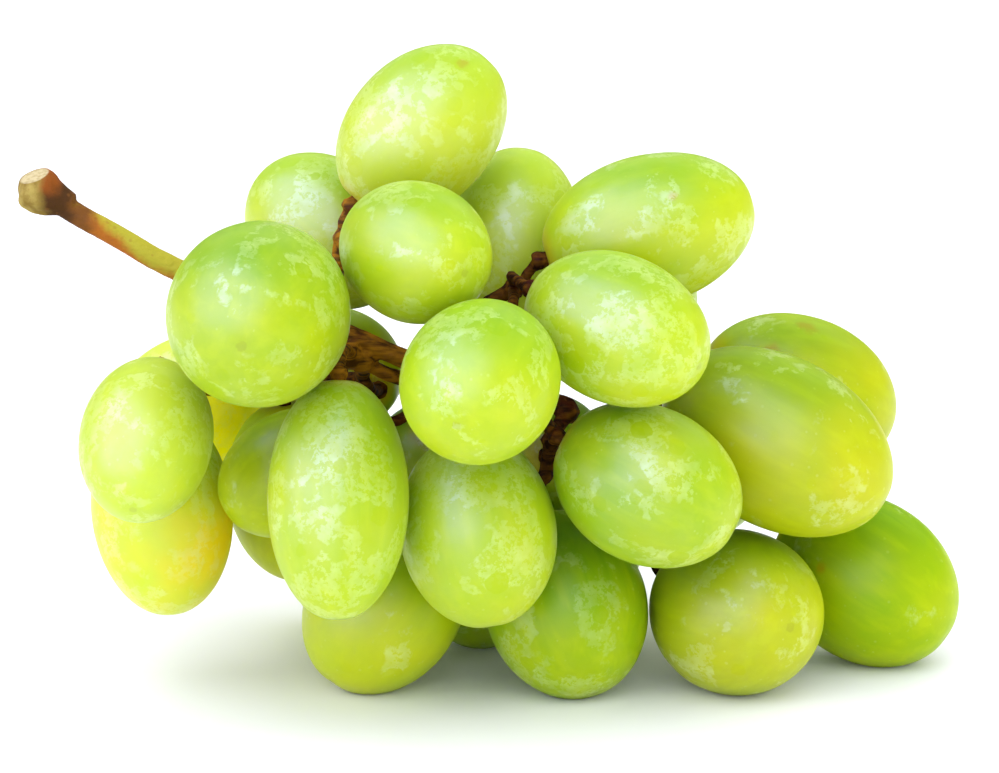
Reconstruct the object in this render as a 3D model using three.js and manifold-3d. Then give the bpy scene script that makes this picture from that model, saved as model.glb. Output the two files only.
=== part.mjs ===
// A bunch of white table grapes lying on its side, as cut from the vine: one branching stem and its berries.
// Millimetres, +Z up, +X along the bunch away from the cut end of its stalk, -Y towards its front.
// The origin is under the middle of the bunch, on the surface that it lies on.

import * as THREE from "three";
import { mergeVertices } from "three/addons/utils/BufferGeometryUtils.js";
import Module from "manifold-3d";

// ---------------------------------------------------------------- driving dimensions

const CONTACT_DEPTH = 0.4; // how far a berry's own weight flattens it where it lies on the surface
const STALK_GAP = 0.4; // clearance between a berry and the collar of its stalklet
const BERRY_SIDES = 16;
const BERRY_RINGS = 8;

const RACHIS_RADIUS = 1.45;
const PEDUNCLE_RADIUS = 1.6;
const LATERAL_RADIUS = 1.1;
const STALKLET_RADIUS = 0.8;
const COLLAR_RADIUS = 1.5; // the swollen ring that a berry sits on
const COLLAR_LENGTH = 1.4;
const RACHIS_SIDES = 8;
const LATERAL_SIDES = 6;
const KNOT_RINGS = 4;
const COLLAR_SIDES = 6;
const STALKLET_SIDES = 6;
const STEP_LENGTH = 6; // along a stem, one section about every so many millimetres

const SKIN = { color: "#b9cf3a", roughness: 0.35, metalness: 0 };
const BARK = { color: "#5f4a24", roughness: 0.8, metalness: 0 };

// ---------------------------------------------------------------- the berries

// at: centre. size: length along the berry's own axis, then width. aim: heading and pitch, in degrees,
// of that axis from the stalk end to the tip. A heading of 0 is +X, 90 is +Y, and a pitch of 90 is +Z.
// stalk: the points that the stalklet follows from the stem, before it meets the berry.
// A berry with lies: true rests on the surface, so its centre's height follows from its size and pitch.

const BERRIES = [
  // crown
  { at: [-11, 3, 80], size: [27.5, 20.5], aim: [15, 45], stalk: [[-22, 0, 65], [-22.3, 0, 67]] },
  { at: [-25, 12.5, 64], size: [25.5, 20.5], aim: [160, 35], stalk: [[-4.5, 0.5, 52], [-9, 4.5, 54.5]] },
  { at: [-11.5, -17, 66.5], size: [24, 19], aim: [-55, -5], stalk: [[-22.5, 0, 63], [-21.5, -2.5, 66]] },
  { at: [2, 13, 63], size: [26, 19.5], aim: [70, 70], stalk: [[-2, 5, 44.5], [-0.5, 7, 46]] },
  { at: [21, -0.5, 66.5], size: [30.5, 21], aim: [5, 15], stalk: [[3, -1, 58.5], [4, -1.5, 60.5]] },
  // front
  {
    at: [-32.5, -25, 59.5], size: [29.5, 24.5], aim: [-95, -5],
    stalk: [[-30, 0.5, 54.5], [-31, -3, 58.5]],
  },
  { at: [16, -20.5, 56.5], size: [27.5, 20], aim: [-35, -15], stalk: [[2.5, -1, 58.5], [1.5, -6, 61]] },
  {
    at: [-2.5, -33, 52], size: [25, 21], aim: [-105, -15],
    stalk: [[2, -0.5, 58], [2, -8, 58], [1.6, -14, 57]],
  },
  {
    at: [-48.5, -20.5, 41], size: [25.5, 18], aim: [-95, -35],
    stalk: [[-43, -3, 43.8], [-45.5, -6, 46.3]],
  },
  {
    at: [-22, -26, 34], size: [33, 19], aim: [-90, -70],
    stalk: [[-21, -1, 48.5], [-21.5, -8, 51], [-22, -15, 51.5]],
  },
  {
    at: [-3, -18.5, 27.5], size: [27, 21.5], aim: [-65, -70],
    stalk: [[-6, 1, 45.3], [-6, -6, 46.5], [-5.6, -11, 45]],
  },
  {
    at: [20.5, -18.5, 34], size: [27, 21.5], aim: [-15, -25],
    stalk: [[8, -1.5, 37.5], [6.8, -7, 40], [6, -12, 41.3]],
  },
  // left shoulder
  { at: [-48.7, 0.5, 25.4], size: [31, 20], aim: [-10, -85], stalk: [[-44, -3, 44.5], [-48.8, -1, 45]] },
  {
    at: [-29.5, -5.5, 32.5], size: [22, 17], aim: [-175, -30],
    stalk: [[-10, 1.5, 41], [-13, 0.5, 38.7], [-16, -3, 39.5]],
  },
  { at: [-30.4, 12, 25.2], size: [27, 19.5], aim: [0, -85], stalk: [[-25, 13, 42], [-28.5, 12.5, 42.5]] },
  {
    at: [-47.5, 26.5, 33.5], size: [27, 21.5], aim: [175, -40],
    stalk: [[-30, 16, 43], [-33, 20, 43.8], [-35, 23.8, 43.4]],
  },
  { at: [-38.8, 15, 50.2], size: [24, 18], aim: [105, 20], stalk: [[-31, -1, 43.5], [-34.5, -0.5, 45]] },
  // right shoulder
  { at: [39.5, -3.5, 36.5], size: [35, 24], aim: [-20, -25], stalk: [[17, 5.5, 47], [20.5, 3.5, 46]] },
  { at: [44.5, 22, 37.5], size: [30.5, 23], aim: [10, -20], stalk: [[21.8, 10.5, 41], [25, 16.5, 43]] },
  { at: [18.5, 22, 51.5], size: [26, 21], aim: [75, 10], stalk: [[11, 4, 48], [13.6, 5, 48.4]] },
  { at: [30, 32, 23], size: [25.5, 20], aim: [60, -30], stalk: [[23, 15.5, 34.5], [22.8, 18.8, 32]] },
  // foot, on the surface
  {
    at: [54, 10], lies: true, size: [29, 23.5], aim: [-25, -30],
    stalk: [[22, 13.5, 19], [30, 14.5, 20], [36.5, 16, 21.3]],
  },
  {
    at: [34, -4], lies: true, size: [27.5, 23.5], aim: [-60, 5],
    stalk: [[22, 13.5, 19], [23.5, 12.5, 12.5]],
  },
  {
    at: [9.5, -4.5], lies: true, size: [27.5, 23], aim: [-60, -55],
    stalk: [[6.5, -3, 31], [5.5, 0, 28.5]],
  },
  { at: [-16.5, -3], lies: true, size: [27, 22], aim: [-150, -50], stalk: [[-4.5, 3.5, 27], [-6, 3, 26]] },
  { at: [-2.5, 15], lies: true, size: [24, 18], aim: [100, -50], stalk: [[-4.5, 3.5, 27], [-2, 4.6, 24]] },
  {
    at: [-21.5, 23.5], lies: true, size: [25, 18], aim: [115, -20],
    stalk: [[-5, 3.5, 29], [-9, 8, 22.5], [-13.5, 9.8, 16]],
  },
  // back
  { at: [-24, 25.7, 40.7], size: [23, 17.5], aim: [120, 5], stalk: [[-19.5, 7, 43], [-18.5, 11, 40.3]] },
  {
    at: [-10.5, 23, 26], size: [23.5, 18], aim: [95, -45],
    stalk: [[-12, 3, 43.6], [-9.5, 8, 40.5], [-9.6, 11, 38.3]],
  },
  { at: [7, 13, 30], size: [23.5, 18.5], aim: [90, -15], stalk: [[6.8, -3.3, 34.5], [6.9, -2, 34]] },
  {
    at: [-11.5, 30.5, 62.5], size: [25, 20.5], aim: [90, 30],
    stalk: [[-9, 4.5, 54.5], [-10.5, 10.5, 53.8], [-11.3, 15, 53.9]],
  },
  { at: [12.5, 27, 13], size: [25.5, 18.5], aim: [105, -35], stalk: [[21.3, 15, 24.5], [18, 14, 22.8]] },
  { at: [-1.5, 24.5, 44.5], size: [23.5, 18.5], aim: [85, 0], stalk: [[-2, 5, 44.5], [-2.6, 8, 44.5]] },
];

// ---------------------------------------------------------------- the stem

// Each branch is a round stem of one radius. It starts inside the branch that it grows from.
const PEDUNCLE = [
  [-64, 0, 71.5],
  [-62, 0, 70],
  [-55, 0, 66],
  [-45.5, 0, 60.5],
  [-35.5, 0.5, 56.5],
  [-27, 0.5, 53.5],
];
const RACHIS = [
  [-27, 0.5, 53.5],
  [-21, 0.5, 51],
  [-13.5, 0.5, 47.5],
  [-7, 1, 45.5],
  [0, 2, 43.5],
  [6, 2.5, 41.5],
  [10, 2, 40],
];
const LATERALS = [
  // to the crown, behind the front berries
  [[-21.5, 0.5, 49.5], [-23.5, 0, 53.5], [-23.5, 0, 58], [-22.5, 0, 63], [-22.2, 0, 66]],
  [[-8, 1, 46], [-5, 0.5, 51], [-1.5, 0.5, 56], [1, 0, 57.5], [3.2, -1, 58.7]],
  // to the left shoulder
  [[-22, 0.5, 49], [-25, 0, 46], [-31, -1, 43.5], [-38, -2, 43.3], [-44, -3, 44.5]],
  [[-19.5, 0.5, 50], [-19.5, 4, 46], [-19.5, 8, 43.5], [-21, 11, 42], [-25, 13, 42], [-30, 16, 43]],
  // under the rachis, towards the back
  [[-20, 0.5, 47.5], [-16, 1, 45.2], [-12, 3, 43.6]],
  [[-8, 1, 45.3], [-10, 1.5, 41]],
  [[-2, 1.7, 44], [-2, 5, 44.5]],
  // down to the foot
  [[-4, 1.3, 44.5], [-5, 3, 38], [-5, 3.5, 31], [-4.5, 3.5, 27]],
  [[10, 2, 40], [9, 0, 38], [7, -3, 36], [6.5, -3.5, 33.5], [6.5, -3, 31]],
  // to the right shoulder, then down to the foot
  [
    [0, 2, 43.5],
    [6, 3, 46],
    [11, 4, 48],
    [16, 5, 47.5],
    [20.5, 8, 43.5],
    [23, 13, 38],
    [23, 17.5, 32],
    [21.3, 15, 24.5],
    [22, 13.5, 19],
  ],
];

// Knots: the swellings where branches leave the stem. Place and radius.
const KNOTS = [
  [[-21.5, 0, 48.5], 2.7],
  [[-19.5, 0.5, 47.5], 2.2],
  [[-8, 1, 45.8], 1.9],
  [[0, 2, 43.5], 1.8],
  [[9.6, 1.6, 39.6], 2],
  [[7.4, -2.4, 36.4], 1.6],
  [[2.2, -0.5, 58.2], 1.7],
  [[-22.3, 0, 65.3], 1.4],
  [[-4.6, 3.5, 27.4], 1.4],
  [[22.2, 13.5, 19.2], 1.4],
  [[11.5, 4, 48], 1.4],
  [[21.6, 9.8, 41.5], 1.4],
  [[-43.9, -3, 44.4], 1.5],
  [[-29.9, 16, 43], 1.3],
  [[-12, 3, 43.5], 1.3],
  [[-10, 1.5, 41.1], 1.3],
  [[-2, 4.9, 44.5], 1.3],
  [[6.5, -3, 31.2], 1.3],
];

// The cut end: a swollen node, sliced across when the bunch was picked. Radius by distance along the stalk.
const CUT_END = {
  at: [-67.1, 0, 72.6],
  towards: [-61.1, 0, 70.3],
  profile: [[0, 2.2], [0.7, 2.8], [2.3, 3.1], [4.2, 2.8], [5.6, 2.2], [7.4, 1.6]],
};

// ---------------------------------------------------------------- solids

const wasm = await Module();
wasm.setup();

const vector = (xyz) => new THREE.Vector3(...xyz);
const UP_Y = new THREE.Vector3(0, 1, 0);

/** Unit vector of a heading and pitch in degrees. */
function direction([heading, pitch]) {
  const h = THREE.MathUtils.degToRad(heading);
  const p = THREE.MathUtils.degToRad(pitch);
  return new THREE.Vector3(Math.cos(p) * Math.cos(h), Math.cos(p) * Math.sin(h), Math.sin(p));
}

/** A closed geometry as a manifold solid. */
function solid(geometry) {
  const bare = geometry.clone();
  bare.deleteAttribute("normal");
  bare.deleteAttribute("uv");
  const merged = mergeVertices(bare, 1e-4);
  return new wasm.Manifold(
    new wasm.Mesh({
      numProp: 3,
      vertProperties: merged.attributes.position.array,
      triVerts: new Uint32Array(merged.index.array),
    }),
  );
}

/** A manifold solid as a geometry. */
function geometryOf(body) {
  const mesh = body.getMesh();
  const geometry = new THREE.BufferGeometry();
  geometry.setAttribute("position", new THREE.BufferAttribute(mesh.vertProperties, 3));
  geometry.setIndex(new THREE.BufferAttribute(mesh.triVerts, 1));
  geometry.computeVertexNormals();
  return geometry;
}

/** A shape turned about Y, moved so that its foot is at a point and its Y axis runs along a direction. */
function turned(profile, sides, foot, along) {
  const points = profile.map(([y, r]) => new THREE.Vector2(r, y));
  const geometry = new THREE.LatheGeometry(points, sides);
  geometry.applyQuaternion(new THREE.Quaternion().setFromUnitVectors(UP_Y, along));
  return geometry.translate(foot.x, foot.y, foot.z);
}

/** A round stem of one radius through the points. */
function branch(points, radius, sides) {
  const path = new THREE.CatmullRomCurve3(points.map(vector), false, "centripetal");
  const section = new THREE.Shape().absarc(0, 0, radius, 0, 2 * Math.PI);
  const steps = Math.max(2, Math.round(path.getLength() / STEP_LENGTH));
  return new THREE.ExtrudeGeometry(section, {
    steps,
    curveSegments: sides / 2, // a full circle is drawn with twice this many sides
    bevelEnabled: false,
    extrudePath: path,
  });
}

// ---------------------------------------------------------------- berries

/** Height of a berry's centre above its lowest point. */
function halfHeight({ size, aim }) {
  const [half, radius] = [size[0] / 2, size[1] / 2];
  return Math.hypot(half * direction(aim).z, radius * Math.sqrt(1 - direction(aim).z ** 2));
}

/** Centre of a berry: one that lies on the surface sinks into it by its flattened depth. */
function centreOf(berry) {
  const [x, y, z] = berry.at;
  return new THREE.Vector3(x, y, berry.lies ? halfHeight(berry) - CONTACT_DEPTH : z);
}

/** A berry: an egg shape about its own axis, flat where it lies on the surface. */
function berryGeometry(berry) {
  const [half, radius] = [berry.size[0] / 2, berry.size[1] / 2];
  const profile = [];
  for (let i = 0; i <= BERRY_RINGS; i++) {
    const turn = (Math.PI * i) / BERRY_RINGS;
    const onAxis = i === 0 || i === BERRY_RINGS;
    profile.push([-half * Math.cos(turn), onAxis ? 0 : radius * Math.sin(turn)]);
  }
  const geometry = turned(profile, BERRY_SIDES, centreOf(berry), direction(berry.aim));
  if (!berry.lies) return geometry;
  const span = 4 * half;
  const above = new THREE.BoxGeometry(span, span, span);
  above.translate(berry.at[0], berry.at[1], span / 2);
  return geometryOf(solid(geometry).intersect(solid(above)));
}

// ---------------------------------------------------------------- stem

/** The stalklet of one berry, with the collar that the berry sits on. */
function stalklet(berry) {
  const along = direction(berry.aim);
  const seat = centreOf(berry).addScaledVector(along, -berry.size[0] / 2 - STALK_GAP);
  const collarFoot = seat.clone().addScaledVector(along, -COLLAR_LENGTH);
  const shoulder = 0.6 * COLLAR_LENGTH;
  const neck = collarFoot.clone().addScaledVector(along, shoulder);
  const profile = [
    [0, 0],
    [shoulder, COLLAR_RADIUS],
    [COLLAR_LENGTH, 0.9 * COLLAR_RADIUS],
    [COLLAR_LENGTH, 0],
  ];
  const collar = turned(profile, COLLAR_SIDES, collarFoot, along);
  const stem = branch([...berry.stalk, neck.toArray()], STALKLET_RADIUS, STALKLET_SIDES);
  return [solid(collar), solid(stem)];
}

/** A swelling of the stem. */
function knot(at, radius) {
  return solid(new THREE.SphereGeometry(radius, LATERAL_SIDES, KNOT_RINGS).translate(...at));
}

/** The whole stem as one solid: stalk, rachis, laterals, knots and stalklets. */
function stemGeometry() {
  const foot = vector(CUT_END.at);
  const along = vector(CUT_END.towards).sub(foot).normalize();
  const outline = CUT_END.profile;
  const closed = [[0, 0], ...outline, [outline.at(-1)[0], 0]];
  const bodies = [
    solid(branch(PEDUNCLE, PEDUNCLE_RADIUS, RACHIS_SIDES)),
    solid(branch(RACHIS, RACHIS_RADIUS, RACHIS_SIDES)),
    solid(turned(closed, RACHIS_SIDES, foot, along)),
    ...LATERALS.map((points) => solid(branch(points, LATERAL_RADIUS, LATERAL_SIDES))),
    ...KNOTS.map(([at, radius]) => knot(at, radius)),
    ...BERRIES.flatMap(stalklet),
  ];
  return geometryOf(bodies.reduce((whole, body) => whole.add(body)));
}

// ---------------------------------------------------------------- the bunch

/** A named node with its own material. */
function node(name, geometry, finish) {
  const mesh = new THREE.Mesh(geometry, new THREE.MeshStandardMaterial(finish));
  mesh.name = name;
  return mesh;
}

const bunch = new THREE.Group();
bunch.add(node("stem", stemGeometry(), BARK));
BERRIES.forEach((berry, i) => {
  const name = "berry_" + String(i + 1).padStart(2, "0");
  bunch.add(node(name, berryGeometry(berry), SKIN));
});

const middle = new THREE.Box3().setFromObject(bunch).getCenter(new THREE.Vector3());
bunch.position.set(-middle.x, -middle.y, 0);

const part = new THREE.Group();
part.add(bunch);
export default part;
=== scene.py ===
"""The look of a bunch of green table grapes lying on its side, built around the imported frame.

Metres, +Z up, and the bunch's front faces -Y. Every berry is a piece of its own, and the stem is one piece.
"""

import logging
import math
from dataclasses import dataclass, field
from enum import Enum
from typing import Any, Optional, Sequence

import bmesh
import bpy
import numpy as np
from mathutils import Matrix, Vector, noise


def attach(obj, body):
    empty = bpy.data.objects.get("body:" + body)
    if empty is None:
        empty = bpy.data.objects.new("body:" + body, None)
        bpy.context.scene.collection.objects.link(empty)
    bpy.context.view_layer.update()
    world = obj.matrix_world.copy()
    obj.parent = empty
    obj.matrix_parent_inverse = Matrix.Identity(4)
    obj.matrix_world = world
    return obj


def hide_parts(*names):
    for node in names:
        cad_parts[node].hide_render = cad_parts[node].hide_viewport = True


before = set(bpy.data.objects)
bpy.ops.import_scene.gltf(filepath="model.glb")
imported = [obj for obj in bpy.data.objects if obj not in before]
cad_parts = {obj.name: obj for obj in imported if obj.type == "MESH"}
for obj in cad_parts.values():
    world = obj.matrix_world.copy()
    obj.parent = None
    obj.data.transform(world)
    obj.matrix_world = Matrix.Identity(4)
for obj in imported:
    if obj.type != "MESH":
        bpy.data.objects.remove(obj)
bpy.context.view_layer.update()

MM = 0.001
LOG = logging.getLogger("grapes")

Pair = tuple[float, float]
Triple = tuple[float, float, float]
Colour = tuple[float, float, float, float]

WHITE: Colour = (1.0, 1.0, 1.0, 1.0)
# how far the lumps and the bloom are shifted from one berry to the next
LUMP_DRIFT: Triple = (3.7, 1.9, 0.0)
BLOOM_DRIFT: Triple = (0.0, 0.0, 2.3)


# ---------------------------------------------------------------------------------------------- helpers


def linear(code: str) -> Colour:
    """Turns a colour written as on a paint chart into the numbers that a shader takes.

    Args:
        code: The colour as "#rrggbb".

    Returns:
        Red, green, blue and alpha, in linear light.
    """
    parts = [int(code[i:i + 2], 16) / 255 for i in (1, 3, 5)]
    red, green, blue = [p / 12.92 if p <= 0.04045 else ((p + 0.055) / 1.055) ** 2.4 for p in parts]
    return red, green, blue, 1.0


def heading(degrees_round: float, degrees_up: float) -> Vector:
    """Gives the direction of a heading and a pitch.

    Args:
        degrees_round: Heading, 0 along +X and 90 along +Y.
        degrees_up: Pitch above the level.

    Returns:
        A vector of length one.
    """
    round_, up = math.radians(degrees_round), math.radians(degrees_up)
    return Vector((math.cos(up) * math.cos(round_), math.cos(up) * math.sin(round_), math.sin(up)))


def mesh_object(name: str, bm: bmesh.types.BMesh, smooth: bool = True) -> bpy.types.Object:
    """Puts a finished bmesh into the scene as an object at the origin.

    Args:
        name: The object's name.
        bm: The bmesh, which is freed.
        smooth: Whether its faces are shaded smooth.

    Returns:
        The new object.
    """
    mesh = bpy.data.meshes.new(name)
    bm.to_mesh(mesh)
    bm.free()
    mesh.polygons.foreach_set("use_smooth", [smooth] * len(mesh.polygons))
    made = bpy.data.objects.new(name, mesh)
    bpy.context.scene.collection.objects.link(made)
    return made


class Tree:
    """Adds nodes to one node tree and joins them, so that a material reads as a recipe."""

    def __init__(self, tree: bpy.types.NodeTree) -> None:
        """Takes the tree that the nodes go into."""
        self.tree = tree

    def add(self, kind: str, **settings: Any) -> bpy.types.Node:
        """Adds one node and sets its properties.

        Args:
            kind: The node's type.
            settings: Its properties by name.

        Returns:
            The new node.
        """
        made = self.tree.nodes.new(kind)
        for key, value in settings.items():
            setattr(made, key, value)
        return made

    def feed(self, socket: bpy.types.NodeSocket, value: Any) -> None:
        """Gives an input a value, or joins another node's output to it.

        Args:
            socket: The input.
            value: A value, or an output socket.
        """
        if isinstance(value, bpy.types.NodeSocket):
            self.tree.links.new(value, socket)
        else:
            socket.default_value = value

    def feed_all(self, sockets: Any, values: dict[str, Any]) -> None:
        """Feeds each input that values names."""
        for name, value in values.items():
            self.feed(sockets[name], value)

    def math(self, operation: str, first: Any, second: Any, clamp: bool = False) -> Any:
        """Does one sum on two numbers.

        Args:
            operation: The sum.
            first: Its first number.
            second: Its second number.
            clamp: Whether the result is held between 0 and 1.

        Returns:
            The result's socket.
        """
        made = self.add("ShaderNodeMath", operation=operation, use_clamp=clamp)
        self.feed(made.inputs[0], first)
        self.feed(made.inputs[1], second)
        return made.outputs[0]

    def plus(self, first: Any, second: Any, share: float) -> Any:
        """Adds a share of a second number to a first."""
        return self.math("ADD", first, self.math("MULTIPLY", second, share))

    def step(self, value: Any, low: Any, high: Any) -> Any:
        """Turns a value into a smooth step.

        Args:
            value: The value.
            low: Where the step starts to rise from 0.
            high: Where it reaches 1.

        Returns:
            The step's socket.
        """
        made = self.add("ShaderNodeMapRange", interpolation_type="SMOOTHSTEP")
        self.feed_all(made.inputs, {"Value": value, "From Min": low, "From Max": high})
        return made.outputs[0]

    def span(self, value: Any, low: float, high: float, to_low: float, to_high: float) -> Any:
        """Stretches a value in a straight line from one span to another, and holds it at the ends.

        Args:
            value: The value.
            low: Start of the span that it comes from.
            high: End of that span.
            to_low: Start of the span that it goes to.
            to_high: End of that span.

        Returns:
            The result's socket.
        """
        made = self.add("ShaderNodeMapRange")
        self.feed_all(made.inputs, {"Value": value, "From Min": low, "From Max": high,
                                    "To Min": to_low, "To Max": to_high})
        return made.outputs[0]

    def sway(self, cloudy: Any, low: float, high: float) -> Any:
        """Stretches cloudy noise until most of it runs from low to high."""
        return self.span(cloudy, 0.3, 0.7, low, high)

    def mix(self, amount: Any, first: Any, second: Any, blend: str = "MIX") -> Any:
        """Mixes two colours.

        Args:
            amount: How much of the second colour goes in, from 0 to 1.
            first: The first colour.
            second: The second colour.
            blend: The way they mix.

        Returns:
            The mixed colour's socket.
        """
        made = self.add("ShaderNodeMix", data_type="RGBA", blend_type=blend)
        self.feed(made.inputs[0], amount)
        self.feed(made.inputs[6], first)
        self.feed(made.inputs[7], second)
        return made.outputs[2]

    def lay(self, colour: Any, code: str, mask: Any, strength: Optional[float] = None) -> Any:
        """Lays a second colour over a first where a mask lets it show.

        Args:
            colour: The first colour.
            code: The second colour, as "#rrggbb".
            mask: Where the second colour shows, from 0 to 1.
            strength: How strongly it shows there, or None for fully.

        Returns:
            The mixed colour's socket.
        """
        if strength is not None:
            mask = self.math("MULTIPLY", mask, strength)
        return self.mix(mask, colour, linear(code))

    def noise(self, place: Any, scale: float, detail: float, rough: float = 0.5, bend: float = 0.0) -> Any:
        """Makes cloudy noise.

        Args:
            place: The coordinates.
            scale: Clouds to a unit of length.
            detail: How many finer layers it has.
            rough: How strong the finer layers are.
            bend: How far it is bent by itself.

        Returns:
            The noise's socket, between 0 and 1.
        """
        made = self.add("ShaderNodeTexNoise")
        self.feed_all(made.inputs, {"Vector": place, "Scale": scale, "Detail": detail,
                                    "Roughness": rough, "Distortion": bend})
        return made.outputs["Fac"]

    def cells(self, place: Any, scale: Any) -> tuple[Any, Any]:
        """Scatters points and looks up the nearest one.

        Args:
            place: The coordinates.
            scale: Points to a unit of length.

        Returns:
            The distance to the nearest point, and that point's own random colour.
        """
        made = self.add("ShaderNodeTexVoronoi")
        self.feed_all(made.inputs, {"Vector": place, "Scale": scale})
        return made.outputs["Distance"], made.outputs["Color"]

    def bump(self, height: Any, strength: float, distance: float) -> Any:
        """Turns a height into the normal of a bumpy surface.

        Args:
            height: The height.
            strength: How strong the bumps are, from 0 to 1.
            distance: How high they are, in metres.

        Returns:
            The normal's socket.
        """
        made = self.add("ShaderNodeBump")
        self.feed_all(made.inputs, {"Height": height, "Strength": strength, "Distance": distance})
        return made.outputs[0]

    def millimetres(self) -> Any:
        """Gives the object's own coordinates in millimetres.

        Returns:
            The coordinates' socket.
        """
        made = self.add("ShaderNodeVectorMath", operation="SCALE")
        self.feed(made.inputs[0], self.add("ShaderNodeTexCoord").outputs["Object"])
        self.feed(made.inputs["Scale"], 1 / MM)
        return made.outputs[0]

    def stretched(self, place: Any, scale: Sequence[float], turn: Sequence[float] = (0, 0, 0)) -> Any:
        """Turns coordinates and then stretches them.

        Args:
            place: The coordinates.
            scale: The stretch along each axis.
            turn: The turn about each axis, in radians.

        Returns:
            The new coordinates' socket.
        """
        made = self.add("ShaderNodeMapping")
        self.feed_all(made.inputs, {"Vector": place, "Rotation": turn, "Scale": scale})
        return made.outputs[0]

    def attribute(self, name: str) -> bpy.types.Node:
        """Returns the node that reads one of the mesh's own attributes."""
        return self.add("ShaderNodeAttribute", attribute_type="GEOMETRY", attribute_name=name)

    def split(self, vector: Any) -> Any:
        """Takes a vector apart.

        Args:
            vector: The vector.

        Returns:
            The sockets of its three numbers.
        """
        made = self.add("ShaderNodeSeparateXYZ")
        self.feed(made.inputs[0], vector)
        return made.outputs

    def group(self, tree: bpy.types.NodeTree, **values: Any) -> Any:
        """Places a node group and feeds its inputs.

        Args:
            tree: The group.
            values: What goes into each input, by name.

        Returns:
            The group's output sockets.
        """
        made = self.add("ShaderNodeGroup", node_tree=tree)
        self.feed_all(made.inputs, values)
        return made.outputs


def new_group(name: str, takes: Sequence[str], gives: Sequence[str]) -> tuple[Any, Tree, Any, Any]:
    """Starts a shader node group. A socket called Place takes a vector, and every other one a number.

    Args:
        name: The group's name.
        takes: Names of its inputs.
        gives: Names of its outputs.

    Returns:
        The group, its tree of nodes, its inputs as sockets to read and its outputs as sockets to feed.
    """
    made = bpy.data.node_groups.new(name, "ShaderNodeTree")
    for socket, side in [(s, "INPUT") for s in takes] + [(s, "OUTPUT") for s in gives]:
        kind = "NodeSocketVector" if socket == "Place" else "NodeSocketFloat"
        made.interface.new_socket(socket, in_out=side, socket_type=kind)
    tree = Tree(made)
    return made, tree, tree.add("NodeGroupInput").outputs, tree.add("NodeGroupOutput").inputs


def new_material(name: str) -> tuple[bpy.types.Material, Tree, Any]:
    """Starts a material.

    Args:
        name: The material's name.

    Returns:
        The material, its tree of nodes and the inputs of its shader.
    """
    made = bpy.data.materials.new(name)
    made.use_nodes = True
    return made, Tree(made.node_tree), made.node_tree.nodes["Principled BSDF"].inputs


# ---------------------------------------------------------------------------------------------- finishes


@dataclass(frozen=True)
class Bloom:
    """The waxy bloom: a film that breaks up into specks at its edges, with round bare spots.

    A scale is in clouds or spots to a millimetre, and an edge is where a mask starts and where it is full.
    """

    patch_scale: float = 0.11
    patch_limits: Pair = (0.72, 0.34)
    patch_edge: Pair = (-0.02, 0.08)
    tear_scale: float = 0.55
    patch_tear: float = 0.45
    lace_tear: float = 0.9
    lace_scale: float = 1.4
    lace_edge: Pair = (0.41, 0.51)
    lace_least: float = 0.3
    spot_scale: float = 0.2
    spot_rarity: float = 0.35
    spot_sizes: Pair = (-0.05, 0.36)
    spot_edge: Pair = (0.06, 0.1)
    spot_least: float = 0.3
    ring_edge: Pair = (0.1, 0.17)
    wobble_scale: float = 0.9
    wobble: float = 0.16
    thick_scale: float = 0.3
    thick_edge: Pair = (0.32, 0.66)
    thick_least: float = 0.45
    haze_covers: Pair = (0.15, 0.8)
    haze: Pair = (0.04, 0.4)

    def group(self) -> bpy.types.NodeTree:
        """Makes the node group.

        Returns:
            The group, which takes a place and how much the bloom covers, and gives the film and the wax that
            gathers round the bare spots.
        """
        made, t, takes, gives = new_group("bloom", ("Place", "Cover"), ("Film", "Edge"))
        place, cover = takes["Place"], takes["Cover"]
        broad = t.noise(place, self.patch_scale, detail=2, rough=0.5, bend=0.5)
        torn = t.math("SUBTRACT", t.noise(place, self.tear_scale, detail=4, rough=0.62, bend=0.3), 0.5)
        raised = t.plus(broad, torn, self.patch_tear)
        limit = t.span(cover, 0, 1, *self.patch_limits)
        patch = t.step(raised, *(t.math("ADD", limit, offset) for offset in self.patch_edge))
        specks = t.noise(place, self.lace_scale, detail=4, rough=0.72, bend=0.2)
        lace = t.step(t.plus(specks, torn, self.lace_tear), *self.lace_edge)
        lace = t.span(lace, 0, 1, self.lace_least, 1)

        gap, shade = t.cells(place, self.spot_scale)
        gap = t.plus(gap, t.noise(place, self.wobble_scale, detail=1), self.wobble)
        size = t.span(t.split(shade)[0], self.spot_rarity, 1, *self.spot_sizes)
        from_spot = t.math("SUBTRACT", gap, size)
        bare = t.step(from_spot, *self.spot_edge)
        ring = t.math("SUBTRACT", bare, t.step(from_spot, *self.ring_edge))

        thick = t.noise(place, self.thick_scale, detail=3, rough=0.6)
        thick = t.span(thick, *self.thick_edge, self.thick_least, 1)
        haze = t.math("MULTIPLY", t.span(cover, *self.haze_covers, *self.haze), thick)
        film = t.math("MULTIPLY", patch, t.math("MULTIPLY", lace, thick))
        film = t.math("MAXIMUM", film, haze)
        film = t.math("MULTIPLY", film, t.span(bare, 0, 1, self.spot_least, 1))
        t.feed(gives["Film"], film)
        t.feed(gives["Edge"], t.math("MULTIPLY", ring, patch))
        return made


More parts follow.
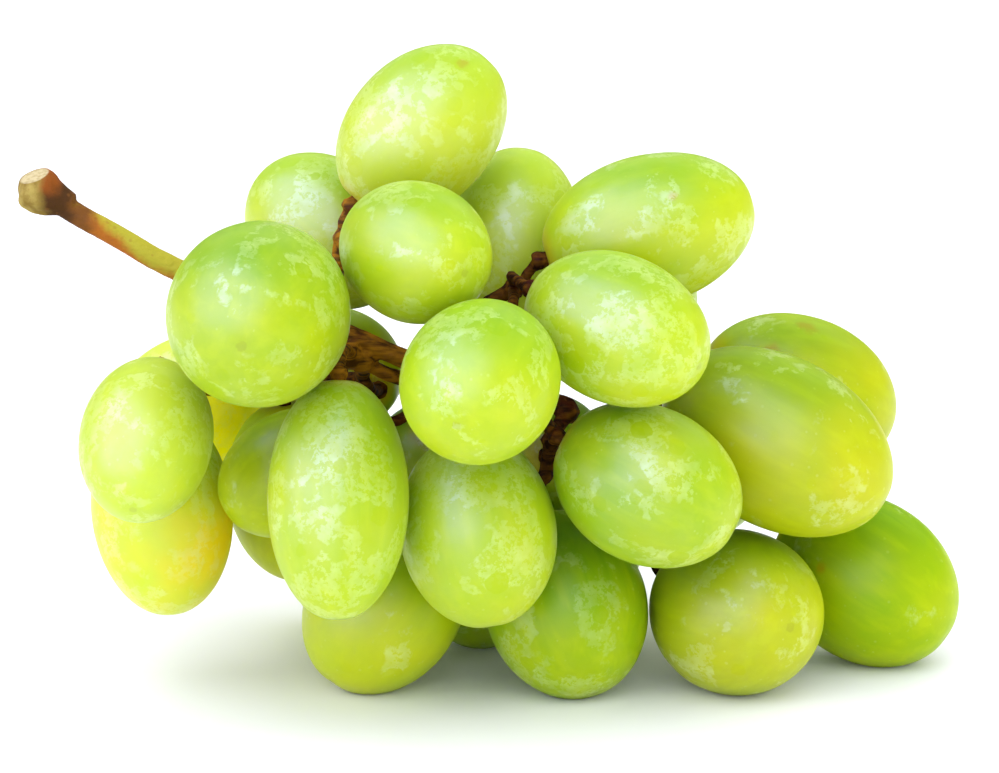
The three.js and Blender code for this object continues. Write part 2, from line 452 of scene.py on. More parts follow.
@dataclass(frozen=True)
class Pores:
    """Scattered pores: small round dots of uneven size. The edge is in parts of a dot's size."""

    edge: Pair = (1.2, 0.5)

    def group(self) -> bpy.types.NodeTree:
        """Makes the node group.

        Returns:
            The group, which takes a place, and the spacing and largest size of the dots in millimetres.
        """
        made, t, takes, gives = new_group("pores", ("Place", "Spacing", "Size"), ("Dots",))
        gap, shade = t.cells(takes["Place"], t.math("DIVIDE", 1.0, takes["Spacing"]))
        reach = t.math("MULTIPLY", t.math("DIVIDE", takes["Size"], takes["Spacing"]), t.split(shade)[1])
        t.feed(gives["Dots"], t.step(gap, *(t.math("MULTIPLY", reach, part) for part in self.edge)))
        return made


class Effects:
    """The node groups that the finishes share."""

    def __init__(self) -> None:
        """Builds each group once."""
        self.bloom = Bloom().group()
        self.pores = Pores().group()


@dataclass(frozen=True)
class SkinFinish:
    """Translucent grape skin of one ripeness, with bloom, pores, sun spots and the scar at the tip.

    The mesh carries three attributes. "own" is a point's place on the berry as on a ball of radius one, with
    the stalk at -Z. "tint" holds warmth (partly a painted glow of light let through the berry), bloom cover,
    sun scorch and the tip scar's strength as its red, green, blue and alpha. "deep" is how strongly
    painted shade makes the skin darker and greener where it faces up; the skin is also painted darker towards
    its rims. Patterns on own have no unit. Other scales are in clouds to a millimetre, and the pores' spacing
    and size in millimetres.
    """

    flesh: str
    # the berry's own yellow, and the yellow of its painted glow
    warm_and_glow: str
    vein: str = "#c2cf00"
    collar: str = "#d9b41e"
    wax: str = "#d2e69e"
    pore: str = "#dbe6a0"
    scorch: str = "#b28600"
    scar: str = "#5c3d16"
    # painted shade: the colour that the skin is multiplied by where shade is painted
    shaded: Colour = (0.58, 0.76, 0.1, 1.0)
    cloud_scale: float = 0.1
    cloud_edge: Pair = (0.35, 0.65)
    cloud_warmth: Pair = (-0.2, 0.25)
    vein_stretch: Triple = (5.5, 5.5, 0.9)
    vein_edge: Pair = (0.45, 0.65)
    vein_strength: float = 0.2
    collar_edge: Pair = (-0.86, -0.985)
    collar_strength: float = 0.5
    blotch_scale: float = 0.7
    blotch: float = 0.22
    scorch_edge: Pair = (0.15, 0.85)
    scorch_strength: float = 0.5
    pore_spacing: float = 1.5
    pore_size: float = 0.3
    pore_strength: float = 0.12
    scar_edge: Pair = (0.9977, 0.9988)
    scar_ragged: float = 0.0006
    ragged_scale: float = 2.2
    # painted shade: the skin is darker and greener towards its rims as seen, and where it faces up
    rim_width: float = 0.35
    rim_shade: float = 0.4
    top_shade_edge: Pair = (0.1, 1.1)
    wax_strength: float = 0.23
    wax_ring: float = 0.2
    wax_gloss: float = 1.62
    wax_roughness: float = 0.38
    thick_wax: float = 0.8
    bare_roughness: float = 0.4
    waxed_roughness: float = 0.48
    sheen: float = 0.3
    skin_gloss: float = 1.45
    translucence: float = 13 * MM
    reach: Triple = (1.0, 1.0, 0.35)
    swell_scale: float = 0.55
    swell_strength: float = 0.35
    swell: float = 0.05 * MM

    def _bare(self, t: Tree, place: Any, effects: Effects) -> tuple[Any, Any]:
        """Makes the colour of the bare skin, with its painted glow and its painted shade.

        Args:
            t: The material's tree of nodes.
            place: The coordinates in millimetres.
            effects: The shared node groups.

        Returns:
            The colour's socket and the bloom cover's.
        """
        own = t.attribute("own").outputs["Vector"]
        tints = t.attribute("tint")
        tint = t.add("ShaderNodeSeparateColor")
        t.feed(tint.inputs[0], tints.outputs["Color"])
        warmth, cover, scorched = tint.outputs
        along = t.split(own)[2]

        clouds = t.noise(place, self.cloud_scale, detail=2)
        warmth = t.math("ADD", warmth, t.span(clouds, *self.cloud_edge, *self.cloud_warmth), clamp=True)
        # the flesh takes the warm colour: the berry's own yellowing, and a painted glow of light let through
        # it
        colour = t.lay(linear(self.flesh), self.warm_and_glow, warmth)
        veins = t.noise(t.stretched(own, self.vein_stretch), 1.0, detail=4, rough=0.55, bend=0.3)
        colour = t.lay(colour, self.vein, t.span(veins, *self.vein_edge, 0, self.vein_strength))
        colour = t.lay(colour, self.collar, t.step(along, *self.collar_edge), self.collar_strength)
        blotches = t.sway(t.noise(place, self.blotch_scale, detail=3), -self.blotch, self.blotch)
        scorch = t.step(t.math("ADD", scorched, blotches), *self.scorch_edge)
        colour = t.lay(colour, self.scorch, scorch, self.scorch_strength)
        dots = t.group(effects.pores, Place=place, Spacing=self.pore_spacing, Size=self.pore_size)[0]
        colour = t.lay(colour, self.pore, dots, self.pore_strength)
        ragged = t.sway(t.noise(place, self.ragged_scale, detail=1), -self.scar_ragged, self.scar_ragged)
        scar = t.step(t.math("ADD", along, ragged), *self.scar_edge)
        colour = t.lay(colour, self.scar, t.math("MULTIPLY", scar, tints.outputs["Alpha"]))

        # painted shade at the rims as seen and on the skin that faces up
        edge_on = t.add("ShaderNodeLayerWeight")
        t.feed(edge_on.inputs["Blend"], self.rim_width)
        shade = t.math("MULTIPLY", edge_on.outputs["Facing"], self.rim_shade)
        crown = t.step(t.attribute("deep").outputs["Fac"], *self.top_shade_edge)
        shade = t.math("ADD", shade, crown, clamp=True)
        return t.mix(shade, colour, t.mix(1.0, colour, self.shaded, "MULTIPLY")), cover

    def material(self, name: str, effects: Effects) -> bpy.types.Material:
        """Builds the material.

        Args:
            name: The material's name.
            effects: The shared node groups.

        Returns:
            The new material.
        """
        made, t, shader = new_material(name)
        place = t.millimetres()
        colour, cover = self._bare(t, place, effects)
        film, edge = t.group(effects.bloom, Place=place, Cover=cover)[:2]
        wax = t.plus(t.math("MULTIPLY", film, film), edge, self.wax_ring)
        swell = t.noise(place, self.swell_scale, detail=2)
        t.feed_all(shader, {
            "Base Color": t.lay(colour, self.wax, wax, self.wax_strength),
            "Roughness": t.span(film, 0, self.thick_wax, self.bare_roughness, self.waxed_roughness),
            "Coat Weight": film,
            "Coat Roughness": self.wax_roughness,
            "Coat IOR": self.wax_gloss,
            "Specular IOR Level": self.sheen,
            "Normal": t.bump(swell, self.swell_strength, self.swell),
            "Subsurface Weight": 1.0,
            "Subsurface Radius": self.reach,
            "Subsurface Scale": self.translucence,
            "IOR": self.skin_gloss,
        })
        return made


class Ripeness(Enum):
    """How ripe a berry is, from hard green to golden. The golden and the amber skins also carry a painted
    glow.
    """

    DEEP = SkinFinish(flesh="#84a600", warm_and_glow="#a4b200", sheen=0.1, wax_gloss=1.3)
    GREEN = SkinFinish(flesh="#8dae00", warm_and_glow="#b0bc00")
    LIME = SkinFinish(flesh="#a0ba00", warm_and_glow="#bac000")
    PALE = SkinFinish(flesh="#aec228", warm_and_glow="#bec61c", sheen=0.34)
    OLIVE = SkinFinish(flesh="#9aac00", warm_and_glow="#b4b400", sheen=0.2)
    # ripe golden colours, painted brighter as a glow of light let through the berry
    GOLD = SkinFinish(flesh="#bece2c", warm_and_glow="#eccc00", translucence=22 * MM)
    AMBER = SkinFinish(flesh="#bccc50", warm_and_glow="#fff000", sheen=0.2, translucence=24 * MM)


@dataclass(frozen=True)
class BarkFinish:
    """The stem's skin: dark woody bark in the bunch, turning orange and green along the stalk.

    The colours change from place to place. A field that ends in along is a stretch of X in millimetres, and
    one that ends in height a stretch of Z. The stalk's line is stalk_rise high where X is 0 and climbs by
    stalk_slope towards -X, and stalk_above, orange_over and green_edge are millimetres above it. ragged is
    how far a change is shifted to and fro, and wavy, even and smooth are shares of that for the less ragged.
    """

    heart: str = "#281003"
    ridge: str = "#744a0a"
    rib: str = "#a87214"
    rust: str = "#4a1a08"
    green: str = "#a7a032"
    orange: str = "#a56120"
    brown: str = "#70471e"
    dusk: str = "#4a3017"
    ochre: str = "#80692c"
    straw: str = "#a5924c"
    amber: str = "#86491a"
    cut: str = "#c2b48c"
    pore: str = "#8a5a2a"
    fibre_stretch: Triple = (0.07, 1.1, 1.1)
    fibre_lean: float = -20.0
    patch_scale: float = 0.28
    ragged: float = 3.0
    wavy: float = 0.6
    even: float = 0.3
    smooth: float = 0.2
    ridge_edge: Pair = (0.42, 0.7)
    rust_edge: Pair = (0.52, 0.64)
    rust_strength: float = 0.6
    rib_edge: Pair = (0.4, 0.62)
    rib_along: Pair = (-4.0, -12.0)
    rib_height: Pair = (40.5, 46.5)
    rib_strength: Pair = (0.12, 0.85)
    stalk_along: Pair = (-24.0, -31.0)
    stalk_above: Pair = (-6.5, -4.0)
    stalk_slope: float = 0.47
    stalk_rise: float = 40.8
    orange_along: Pair = (-57.0, -50.0)
    orange_over: Pair = (1.6, -2.4)
    green_edge: Pair = (-1.5, 1.5)
    brown_along: Pair = (-55.0, -59.0)
    dusk_along: Pair = (-59.0, -60.8)
    neck_along: Pair = (-60.9, -61.9)
    neck_height: Pair = (71.0, 73.4)
    knob_along: Pair = (-63.2, -64.8)
    straw_edge: Pair = (0.4, 0.62)
    grain_edge: Pair = (0.42, 0.66)
    grain_scale: float = 1.6
    grain_strength: float = 0.4
    pore_spacing: float = 1.3
    pore_size: float = 0.4
    pore_strength: float = 0.3
    roughness: Pair = (0.5, 0.8)
    sheen: float = 0.04
    grit_scale: float = 1.3
    grit: float = 1.2
    swell_strength: float = 0.7
    swell: float = 0.3 * MM

    def _woody(self, t: Tree, place: Any, fibres: Any, patches: Any) -> Any:
        """Makes the colour of the bark in the bunch, where the main stem is lighter than its branches.

        Args:
            t: The material's tree of nodes.
            place: The coordinates in millimetres.
            fibres: Noise drawn out along the stem.
            patches: Cloudy noise.

        Returns:
            The colour's socket.
        """
        colour = t.lay(linear(self.heart), self.ridge, t.span(fibres, *self.ridge_edge, 0, 1))
        colour = t.lay(colour, self.rust, t.step(patches, *self.rust_edge), self.rust_strength)
        x, _, z = t.split(place)
        main_stem = t.math("MULTIPLY", t.step(x, *self.rib_along), t.step(z, *self.rib_height))
        ribs = t.span(fibres, *self.rib_edge, *self.rib_strength)
        return t.lay(colour, self.rib, t.math("MULTIPLY", main_stem, ribs))

    def _along(self, t: Tree, place: Any, uneven: Any, inner: Any) -> Any:
        """Carries the colour out along the stalk: orange that gives way to green, then brown beside the knob.

        Args:
            t: The material's tree of nodes.
            place: The coordinates in millimetres.
            uneven: How far each edge is shifted, in millimetres.
            inner: The colour in the bunch.

        Returns:
            The colour's socket.
        """
        x, _, z = t.split(place)
        above = t.math("SUBTRACT", t.plus(z, x, self.stalk_slope), self.stalk_rise)
        over = t.plus(above, uneven, self.even)
        over = t.math("SUBTRACT", over, t.span(x, *self.orange_along, *self.orange_over))
        stalk = t.lay(linear(self.orange), self.green, t.step(over, *self.green_edge))
        stalk = t.lay(stalk, self.brown, t.step(t.plus(x, uneven, self.wavy), *self.brown_along))
        stalk = t.lay(stalk, self.dusk, t.step(t.plus(x, uneven, self.even), *self.dusk_along))
        outside = t.step(t.math("ADD", x, uneven), *self.stalk_along)
        outside = t.math("MULTIPLY", outside, t.step(above, *self.stalk_above))
        return t.mix(outside, inner, stalk)

    def _knob(self, t: Tree, place: Any, uneven: Any, patches: Any, colour: Any) -> Any:
        """Lays the knob's colours over the rest: ochre at the cut end, and amber over dusk at its neck.

        Args:
            t: The material's tree of nodes.
            place: The coordinates in millimetres.
            uneven: How far each edge is shifted, in millimetres.
            patches: Cloudy noise.
            colour: The colour so far.

        Returns:
            The colour's socket.
        """
        x, _, z = t.split(place)
        top = t.plus(z, uneven, self.smooth)
        neck = t.lay(linear(self.dusk), self.amber, t.step(top, *self.neck_height))
        colour = t.mix(t.step(x, *self.neck_along), colour, neck)
        body = t.lay(linear(self.ochre), self.straw, t.step(patches, *self.straw_edge))
        colour = t.mix(t.step(t.plus(x, uneven, self.even), *self.knob_along), colour, body)
        grain = t.step(t.noise(place, self.grain_scale, detail=3, rough=0.6), *self.grain_edge)
        wood = t.lay(linear(self.cut), self.ochre, grain, self.grain_strength)
        return t.mix(t.attribute("cut").outputs["Fac"], colour, wood)

    def material(self, name: str, effects: Effects) -> bpy.types.Material:
        """Builds the material.

        Args:
            name: The material's name.
            effects: The shared node groups.

        Returns:
            The new material.
        """
        made, t, shader = new_material(name)
        place = t.millimetres()
        lean = (0, math.radians(self.fibre_lean), 0)
        fibres = t.stretched(place, self.fibre_stretch, lean)
        fibres = t.noise(fibres, 1.0, detail=4, rough=0.5, bend=0.3)
        patches = t.noise(place, self.patch_scale, detail=5, rough=0.6)
        uneven = t.sway(patches, -self.ragged, self.ragged)
        colour = self._woody(t, place, fibres, patches)
        colour = self._along(t, place, uneven, colour)
        colour = self._knob(t, place, uneven, patches, colour)
        dots = t.group(effects.pores, Place=place, Spacing=self.pore_spacing, Size=self.pore_size)[0]
        gritty = t.plus(fibres, t.noise(place, self.grit_scale, detail=5, rough=0.6), self.grit)
        t.feed_all(shader, {
            "Base Color": t.lay(colour, self.pore, dots, self.pore_strength),
            "Roughness": t.sway(fibres, *self.roughness),
            "Specular IOR Level": self.sheen,
            "Normal": t.bump(gritty, self.swell_strength, self.swell),
        })
        return made


@dataclass(frozen=True)
class TableFinish:
    """Matt white paint."""

    colour: Colour = (0.9, 0.92, 0.99, 1.0)
    roughness: float = 0.55
    sheen: float = 0.12

    def material(self, name: str) -> bpy.types.Material:
        """Builds the material.

        Args:
            name: The material's name.

        Returns:
            The new material.
        """
        made, t, shader = new_material(name)
        t.feed_all(shader, {"Base Color": self.colour, "Roughness": self.roughness,
                            "Specular IOR Level": self.sheen})
        return made


# ---------------------------------------------------------------------------------------------- berries


def corners_of(node: str) -> np.ndarray:
    """Gives the separate corners of a CAD node.

    Args:
        node: The CAD node.

    Returns:
        One row for each corner, in metres.
    """
    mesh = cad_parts[node].data
    places = np.empty(len(mesh.vertices) * 3, np.float32)
    mesh.vertices.foreach_get("co", places)
    return np.unique(places.reshape(-1, 3).round(7), axis=0).astype(float)


@dataclass(frozen=True)
class Seat:
    """A berry's place as the frame holds it.

    middle is its centre, axis points from its stalk end to its tip, and half and radius are half its length
    and half its width.
    """

    middle: Vector
    axis: Vector
    half: float
    radius: float

    @classmethod
    def of_node(cls, node: str, stem: np.ndarray) -> "Seat":
        """Reads a berry's place off its CAD solid, whose two ends are its farthest corners.

        Args:
            node: The CAD node.
            stem: The corners of the CAD stem, which tell the stalk end from the tip.

        Returns:
            The berry's place.
        """
        corners = corners_of(node)
        gaps = np.linalg.norm(corners[:, None] - corners[None], axis=2)
        ends = corners[list(np.unravel_index(gaps.argmax(), gaps.shape))]
        to_stem = [np.linalg.norm(stem - end, axis=1).min() for end in ends]
        tail, tip = ends if to_stem[0] < to_stem[1] else ends[::-1]
        middle, axis = (tail + tip) / 2, (tip - tail) / np.linalg.norm(tip - tail)
        spokes = corners - middle
        spokes = spokes - np.outer(spokes @ axis, axis)
        radius = float(np.linalg.norm(spokes, axis=1).max())
        return cls(Vector(middle), Vector(axis), float(gaps.max()) / 2, radius)


@dataclass(frozen=True)
class Scorch:
    """A brown spot where the sun caught the skin.

    round_ and up give the direction that it lies in from the berry's middle, in degrees, and size its radius.
    """

    round_: float
    up: float
    size: float


@dataclass
class Berry:
    """One grape: an egg-shaped berry with a dimple round its stalk and a small scar at its tip.

    bloom is how much the bloom covers. warmth less cool is how yellow the skin is, and a painted glow of
    light let through the berry makes it yellower still, by up to glow_reach, towards glow_side, which is a
    heading and a pitch in degrees. top_shade_strength is how strongly painted shade makes it darker and
    greener where it faces up. lumps, fine_lumps and lobes are parts of the berry's size.
    """

    number: int
    ripeness: Ripeness
    bloom: float
    warmth: float
    glow_side: Pair
    scorches: tuple[Scorch, ...] = ()
    glow_reach: float = 0.35
    scar: float = 0.15
    top_shade_strength: float = 1.0
    uneven_bloom: float = 0.12
    bloom_scale: float = 1.3
    cool: float = 0.1
    lumps: float = 0.013
    lump_scale: float = 1.1
    fine_lumps: float = 0.004
    fine_scale: float = 2.7
    lobes: float = 0.005
    lobe_count: int = 3
    plump: float = 0.15 * MM
    dimple: float = 0.7 * MM
    dimple_reach: float = 1.9 * MM
    scar_dip: float = 0.22 * MM
    scar_reach: float = 1.5 * MM
    finer: int = 6
    quick_finer: int = 5
    seat: Optional[Seat] = None

    @property
    def node(self) -> str:
        """The CAD node that this berry stands for."""
        return f"berry_{self.number:02d}"

    def _shaped(self, spot: Vector) -> Vector:
        """Gives the berry's surface at a point of a ball of radius one.

        Args:
            spot: The point, with the stalk at -Z.

        Returns:
            The surface from the berry's middle, with its axis along Z.
        """
        drift = Vector([self.number * step for step in LUMP_DRIFT])
        lumps = self.lumps * noise.noise(spot * self.lump_scale + drift)
        lumps += self.fine_lumps * noise.noise(spot * self.fine_scale + drift)
        turn = math.atan2(spot.y, spot.x)
        lobes = self.lobes * math.cos(self.lobe_count * turn + self.number) * (1 - spot.z ** 2)
        wide = (self.seat.radius + self.plump) * (1 + lumps + lobes)
        grown = Vector((wide * spot.x, wide * spot.y, (self.seat.half + self.plump) * spot.z))
        off_axis = math.hypot(grown.x, grown.y)
        if spot.z < 0:
            grown.z += self.dimple * math.exp(-((off_axis / self.dimple_reach) ** 2))
        else:
            grown.z -= self.scar_dip * math.exp(-((off_axis / self.scar_reach) ** 2))
        return grown

    def _tint(self, spot: Vector, out: Vector) -> Colour:
        """Gives what the skin needs to know at a point.

        Args:
            spot: The point on a ball of radius one.
            out: The direction that it lies in from the berry's middle.

        Returns:
            Its warmth with its painted glow, its bloom cover, its scorch and the strength of the scar at the
            tip.
        """
        # painted glow: yellower skin on the side that light shines through
        towards = out.dot(heading(*self.glow_side))
        warmth = self.warmth + self.glow_reach * max(0.0, towards) - self.cool
        drift = Vector([self.number * step for step in BLOOM_DRIFT])
        cover = self.bloom + self.uneven_bloom * noise.noise(spot * self.bloom_scale + drift)
        burn = 0.0
        for scorch in self.scorches:
            away = (out - heading(scorch.round_, scorch.up)).length * self.seat.radius
            burn = max(burn, 1 - away / scorch.size)
        return min(1.0, max(0.0, warmth)), min(1.0, max(0.0, cover)), burn, self.scar

    def build(self) -> bpy.types.Object:
        """Builds the berry's mesh, pressed flat where it lies on the surface.

        Returns:
            The berry.
        """
        bm = bmesh.new()
        finer = self.finer
        bmesh.ops.create_icosphere(bm, subdivisions=finer, radius=1.0)
        own = bm.verts.layers.float_vector.new("own")
        deep = bm.verts.layers.float.new("deep")
        tint = bm.verts.layers.float_color.new("tint")
        turned = self.seat.axis.to_track_quat("Z", "X").to_matrix()
        for vert in bm.verts:
            spot = vert.co.copy()
            vert[own] = spot
            local = turned @ self._shaped(spot)
            vert[tint] = self._tint(spot, local.normalized())
            # painted shade, strongest where the skin faces straight up
            vert[deep] = self.top_shade_strength * max(0.0, local.normalized().z)
            vert.co = self.seat.middle + local
            vert.co.z = max(0.0, vert.co.z)
        return mesh_object(f"grape_{self.number:02d}", bm)


@dataclass
class Berries:
    """All the berries of the bunch."""

    pieces: list[Berry] = field(default_factory=lambda: [
        # the crown
        Berry(1, Ripeness.PALE, 0.7, 0.4, (20, -60), (Scorch(-35, 55, 1.2 * MM),), 0.6, top_shade_strength=0.85),
        Berry(2, Ripeness.PALE, 0.85, 0.1, (180, 30)),
        Berry(3, Ripeness.LIME, 0.68, 0.3, (0, -70)),
        Berry(4, Ripeness.PALE, 0.66, 0.0, (0, -60), top_shade_strength=0.6),
        Berry(5, Ripeness.LIME, 0.58, 0.35, (0, -40), (Scorch(-70, 35, 1.0 * MM),)),
        # the front
        Berry(6, Ripeness.GREEN, 0.54, 0.4, (-10, -50)),
        Berry(7, Ripeness.LIME, 0.72, 0.2, (-10, -40)),
        Berry(8, Ripeness.LIME, 0.5, 0.1, (-60, -60)),
        Berry(9, Ripeness.PALE, 0.72, 0.1, (0, -10), top_shade_strength=0.3),
        Berry(10, Ripeness.LIME, 0.66, 0.1, (180, 10), top_shade_strength=0.6),
        Berry(11, Ripeness.LIME, 0.66, 0.1, (-60, -60), top_shade_strength=0.6),
        Berry(12, Ripeness.GREEN, 0.62, 0.2, (-20, 0), top_shade_strength=0.3),
        # the left shoulder
        Berry(13, Ripeness.GOLD, 0.58, 0.0, (0, -20), glow_reach=0.9, scar=0.9),
        Berry(14, Ripeness.OLIVE, 0.2, 0.2, (0, 60)),
        Berry(15, Ripeness.OLIVE, 0.0, 0.5, (0, -60)),
        Berry(16, Ripeness.AMBER, 0.6, 0.0, (-40, -30), glow_reach=1.1, top_shade_strength=0.2),
        Berry(17, Ripeness.OLIVE, 0.45, 0.3, (0, 0)),
        # the right shoulder
        Berry(18, Ripeness.OLIVE, 0.36, 0.4, (-20, -40)),
        Berry(19, Ripeness.OLIVE, 0.3, 0.3, (0, 0), (Scorch(-80, 70, 2.4 * MM), Scorch(-120, 40, 2.0 * MM))),
        Berry(20, Ripeness.LIME, 0.55, 0.2, (90, 30)),
        Berry(21, Ripeness.GREEN, 0.5, 0.3, (60, 0)),
        # the foot
        Berry(22, Ripeness.DEEP, 0.2, 0.35, (0, -40), (Scorch(-130, 20, 1.4 * MM),)),
        Berry(23, Ripeness.OLIVE, 0.45, 0.3, (-60, -10)),
        Berry(24, Ripeness.DEEP, 0.52, 0.05, (-90, -30)),
        Berry(25, Ripeness.LIME, 0.25, 0.45, (-120, -60), scar=0.9),
        Berry(26, Ripeness.GREEN, 0.4, 0.2, (90, 0)),
        Berry(27, Ripeness.LIME, 0.45, 0.3, (120, 0)),
        # the back
        Berry(28, Ripeness.OLIVE, 0.3, 0.4, (0, 60)),
        Berry(29, Ripeness.LIME, 0.5, 0.2, (90, -30)),
        Berry(30, Ripeness.GREEN, 0.5, 0.2, (90, 0)),
        Berry(31, Ripeness.PALE, 0.62, 0.2, (90, 30), (Scorch(100, 30, 2.0 * MM),)),
        Berry(32, Ripeness.LIME, 0.5, 0.3, (90, -20)),
        Berry(33, Ripeness.LIME, 0.58, 0.25, (90, 0)),
    ])

    def build(self, effects: Effects, stem: np.ndarray) -> None:
        """Builds and dresses every berry.

        Args:
            effects: The shared node groups.
            stem: The corners of the CAD stem.
        """
        skins = {tone: tone.value.material(f"skin_{tone.name.lower()}", effects) for tone in Ripeness}
        for berry in self.pieces:
            berry.seat = Seat.of_node(berry.node, stem)
            piece = berry.build()
            piece.data.materials.append(skins[berry.ripeness])
            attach(piece, "root")
            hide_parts(berry.node)
            LOG.info("%s: %d faces", piece.name, len(piece.data.polygons))


# ---------------------------------------------------------------------------------------------- stem


@dataclass(frozen=True)
class Cut:
    """A flat cut across the stalk's end.

    place is a point on it in millimetres, facing its outward direction and rim the width of its dark edge.
    """

    place: Triple
    facing: Triple
    rim: float = 0.35 * MM

    def slice(self, bm: bmesh.types.BMesh, pale: bmesh.types.BMLayerItem) -> None:
        """Takes away what lies beyond the cut, closes the opening and marks the wood within its rim.

        Args:
            bm: The stem.
            pale: The layer that marks bare wood.
        """
        everything = bm.verts[:] + bm.edges[:] + bm.faces[:]
        made = bmesh.ops.bisect_plane(bm, geom=everything, plane_co=Vector(self.place) * MM,
                                      plane_no=Vector(self.facing).normalized(), clear_outer=True)
        edges = [item for item in made["geom_cut"] if isinstance(item, bmesh.types.BMEdge)]
        faces = bmesh.ops.holes_fill(bm, edges=edges, sides=0)["faces"]
        bmesh.ops.inset_region(bm, faces=faces, thickness=self.rim, use_even_offset=True)
        for face in faces:
            for vert in face.verts:
                vert[pale] = 1.0


@dataclass
class Stem:
    """The branching woody stem: one skin grown over its branches, knots and stalklets.

    The skin is gnarled in the bunch and smoother along the stalk. How gnarled it is grows along X by
    gnarled_slope to a millimetre, from gnarled_middle above the origin, within the two limits of gnarled.
    """

    node: str = "stem"
    weld: float = 0.001 * MM
    voxel: float = 0.255 * MM
    smoothing: int = 3
    smoothing_factor: float = 0.5
    plug_radius: float = 1.3 * MM
    plug_taper: float = 0.7
    plug_length: float = 2.4 * MM
    plug_offset: float = 0.4 * MM
    plug_sides: int = 16
    lumps: float = 0.22 * MM
    lump_scale: float = 0.33
    grit: float = 0.07 * MM
    grit_scale: float = 1.2
    growth: float = 0.08 * MM
    gnarled: Pair = (0.35, 0.8)
    gnarled_middle: float = 1.02
    gnarled_slope: float = 0.0225
    knob_middle: Triple = (-64.6, 0.9, 72.4)
    knob_radius: float = 3.0 * MM
    knob_finer: int = 3
    cut: Cut = Cut((-64.9, 0.9, 74.45), (-0.3, -0.25, 0.92))

    def _core(self, berries: Sequence[Berry]) -> bpy.types.Object:
        """Joins the CAD stem, the knob at its end and a plug that carries each collar into its berry.

        Args:
            berries: The berries, whose places say where the plugs go.

        Returns:
            A rough stem to grow the skin over.
        """
        bm = bmesh.new()
        bm.from_mesh(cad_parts[self.node].data)
        bmesh.ops.remove_doubles(bm, verts=bm.verts, dist=self.weld)
        bmesh.ops.create_icosphere(bm, subdivisions=self.knob_finer, radius=self.knob_radius,
                                   matrix=Matrix.Translation(Vector(self.knob_middle) * MM))
        for berry in berries:
            seat = berry.seat
            place = seat.middle - seat.axis * (seat.half + self.plug_offset)
            turned = seat.axis.to_track_quat("Z", "X").to_matrix().to_4x4()
            bmesh.ops.create_cone(bm, cap_ends=True, segments=self.plug_sides, radius1=self.plug_radius,
                                  radius2=self.plug_taper * self.plug_radius, depth=self.plug_length,
                                  matrix=Matrix.Translation(place) @ turned)
        return mesh_object("stem_core", bm)

    def _skinned(self, core: bpy.types.Object) -> bmesh.types.BMesh:
        """Grows one closed skin over the core and frees the core.

        Args:
            core: The rough stem.

        Returns:
            The skin.
        """
        skin = core.modifiers.new("skin", "REMESH")
        skin.mode = "VOXEL"
        skin.voxel_size = self.voxel
        grown = core.evaluated_get(bpy.context.evaluated_depsgraph_get())
        bm = bmesh.new()
        bm.from_mesh(grown.data)
        bpy.data.objects.remove(core)
        return bm

    def _roughen(self, bm: bmesh.types.BMesh) -> None:
        """Pushes the skin in and out into the lumps and grit of bark.

        Args:
            bm: The stem.
        """
        least, most = self.gnarled
        bm.normal_update()
        for vert in bm.verts:
            spot = vert.co / MM
            gnarled = min(most, max(least, self.gnarled_middle + spot.x * self.gnarled_slope))
            rise = self.lumps * noise.noise(spot * self.lump_scale)
            rise += self.grit * noise.noise(spot * self.grit_scale)
            vert.co += vert.normal * (rise * gnarled + self.growth)

    def build(self, berries: Sequence[Berry]) -> bpy.types.Object:
        """Builds the stem's mesh.

        Args:
            berries: The berries, whose places say where the stalklets end.

        Returns:
            The stem.
        """
        bm = self._skinned(self._core(berries))
        for _ in range(self.smoothing):
            bmesh.ops.smooth_vert(bm, verts=bm.verts, factor=self.smoothing_factor,
                                  use_axis_x=True, use_axis_y=True, use_axis_z=True)
        self._roughen(bm)
        self.cut.slice(bm, bm.verts.layers.float.new("cut"))
        return mesh_object("vine_stem", bm)

    def dress(self, piece: bpy.types.Object, bark: bpy.types.Material) -> None:
        """Gives the stem its bark and its place in the frame.

        Args:
            piece: The stem.
            bark: Its material.
        """
        piece.data.materials.append(bark)
        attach(piece, "root")
        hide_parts(self.node)
        LOG.info("%s: %d faces", piece.name, len(piece.data.polygons))


# ---------------------------------------------------------------------------------------------- studio


class Shines(Enum):
    """What a light shows up in."""

    BODY = "the colour of things"
    GLEAM = "the gleam on them"
    BOTH = "both"


@dataclass(frozen=True)
class Softbox:
    """A soft rectangular light: towards is its direction from the bunch, and away its distance in metres."""

    name: str
    towards: Triple
    away: float
    size: Pair
    watts: float
    shines: Shines = Shines.BOTH
    tone: str = "#ffffff"

    def hang(self, target: Vector) -> None:
        """Hangs the light so that it faces the bunch.

        Args:
            target: The point that it faces.
        """
        towards = Vector(self.towards).normalized()
        data = bpy.data.lights.new(self.name, "AREA")
        data.shape = "RECTANGLE"
        data.size, data.size_y = self.size
        data.energy = self.watts
        data.color = linear(self.tone)[:3]
        made = bpy.data.objects.new(self.name, data)
        made.location = target + towards * self.away
        made.rotation_mode = "QUATERNION"
        made.rotation_quaternion = towards.to_track_quat("Z", "Y")
        made.visible_camera = False
        made.visible_diffuse = self.shines is not Shines.GLEAM
        made.visible_glossy = self.shines is not Shines.BODY
        bpy.context.scene.collection.objects.link(made)


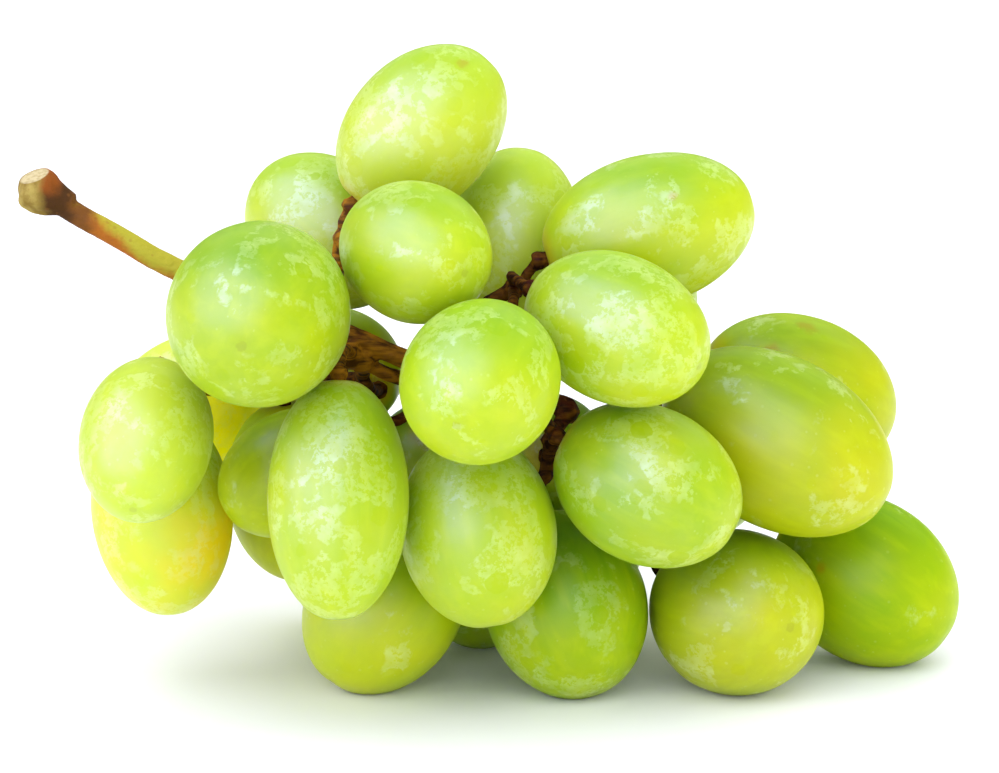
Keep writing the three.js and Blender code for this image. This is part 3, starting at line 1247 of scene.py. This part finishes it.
@dataclass
class Studio:
    """The pale table, the soft lights round it and the camera.

    lens and sensor are in millimetres. room_light is how bright the room is on the camera's side and on the
    far side, and room_gleam how brightly it mirrors in things, nearly all round and low on the far side.
    """

    target: Vector = field(default_factory=lambda: Vector((0.27, 0.9, 43.69)) * MM)
    distance: float = 500 * MM
    elevation: float = 13.0
    lens: float = 126.1
    sensor: float = 36.0
    clip: float = 10 * MM
    table_half: float = 4.0
    room_light: Pair = (1.4, 1.08)
    room_gleam: Pair = (0.05, 0.14)
    softboxes: tuple[Softbox, ...] = (
        Softbox("window", (-0.30, -0.40, 0.86), 1.2, (1.8, 1.4), 10, Shines.BODY),
        Softbox("window_gleam", (-0.52, -0.57, 0.64), 1.2, (2.5, 2.0), 136, Shines.GLEAM, "#a49cff"),
        Softbox("right_wall", (0.85, -0.35, 0.3), 1.3, (1.6, 1.2), 3, Shines.BODY),
        Softbox("back_window", (0.15, 0.8, 0.75), 1.4, (2.0, 1.0), 5),
    )

    def camera(self) -> None:
        """Sets up the camera, level with the front of the bunch and a little above it."""
        back = Vector((0, -math.cos(math.radians(self.elevation)), math.sin(math.radians(self.elevation))))
        data = bpy.data.cameras.new("camera")
        data.lens = self.lens
        data.sensor_width = self.sensor
        data.clip_start = self.clip
        made = bpy.data.objects.new("camera", data)
        made.location = self.target + back * self.distance
        made.rotation_mode = "QUATERNION"
        made.rotation_quaternion = (-back).to_track_quat("-Z", "Y")
        bpy.context.scene.collection.objects.link(made)
        bpy.context.scene.camera = made

    def floor(self) -> None:
        """Lays the white table."""
        bm = bmesh.new()
        bmesh.ops.create_grid(bm, x_segments=1, y_segments=1, size=self.table_half)
        made = mesh_object("table", bm, smooth=False)
        made.data.materials.append(TableFinish().material("table_white"))

    def world(self) -> None:
        """Lights the room: a soft white fill, dim in the skin's gleam, and plain white to the camera."""
        made = bpy.data.worlds.new("room")
        bpy.context.scene.world = made
        made.use_nodes = True
        t = Tree(made.node_tree)
        made.node_tree.nodes.clear()
        _, y, z = t.split(t.add("ShaderNodeTexCoord").outputs["Generated"])
        behind = t.math("MULTIPLY", t.step(y, -0.3, 0.6), t.step(z, 0.85, 0.3))
        path = t.add("ShaderNodeLightPath")
        strength = t.mix(path.outputs["Is Glossy Ray"], t.span(y, -0.5, 0.5, *self.room_light),
                         t.span(behind, 0, 1, *self.room_gleam))
        room = t.add("ShaderNodeBackground")
        t.feed_all(room.inputs, {"Color": WHITE, "Strength": strength})
        plain = t.add("ShaderNodeBackground")
        t.feed_all(plain.inputs, {"Color": WHITE, "Strength": 1.0})
        either = t.add("ShaderNodeMixShader")
        for socket, value in zip(either.inputs, (path.outputs["Is Camera Ray"], room.outputs[0],
                                                 plain.outputs[0])):
            t.feed(socket, value)
        t.feed(t.add("ShaderNodeOutputWorld").inputs["Surface"], either.outputs[0])

    def build(self) -> None:
        """Sets up the whole studio."""
        self.camera()
        self.floor()
        self.world()
        for softbox in self.softboxes:
            softbox.hang(self.target)
        bpy.context.scene.view_settings.view_transform = "Standard"


# ---------------------------------------------------------------------------------------------- the bunch


def main() -> None:
    """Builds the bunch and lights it."""
    logging.basicConfig(level=logging.INFO, format="%(message)s")
    effects = Effects()
    Studio().build()
    berries = Berries()
    berries.build(effects, corners_of("stem"))
    stem = Stem()
    stem.dress(stem.build(berries.pieces), BarkFinish().material("bark", effects))


if __name__ == "__main__":
    main()
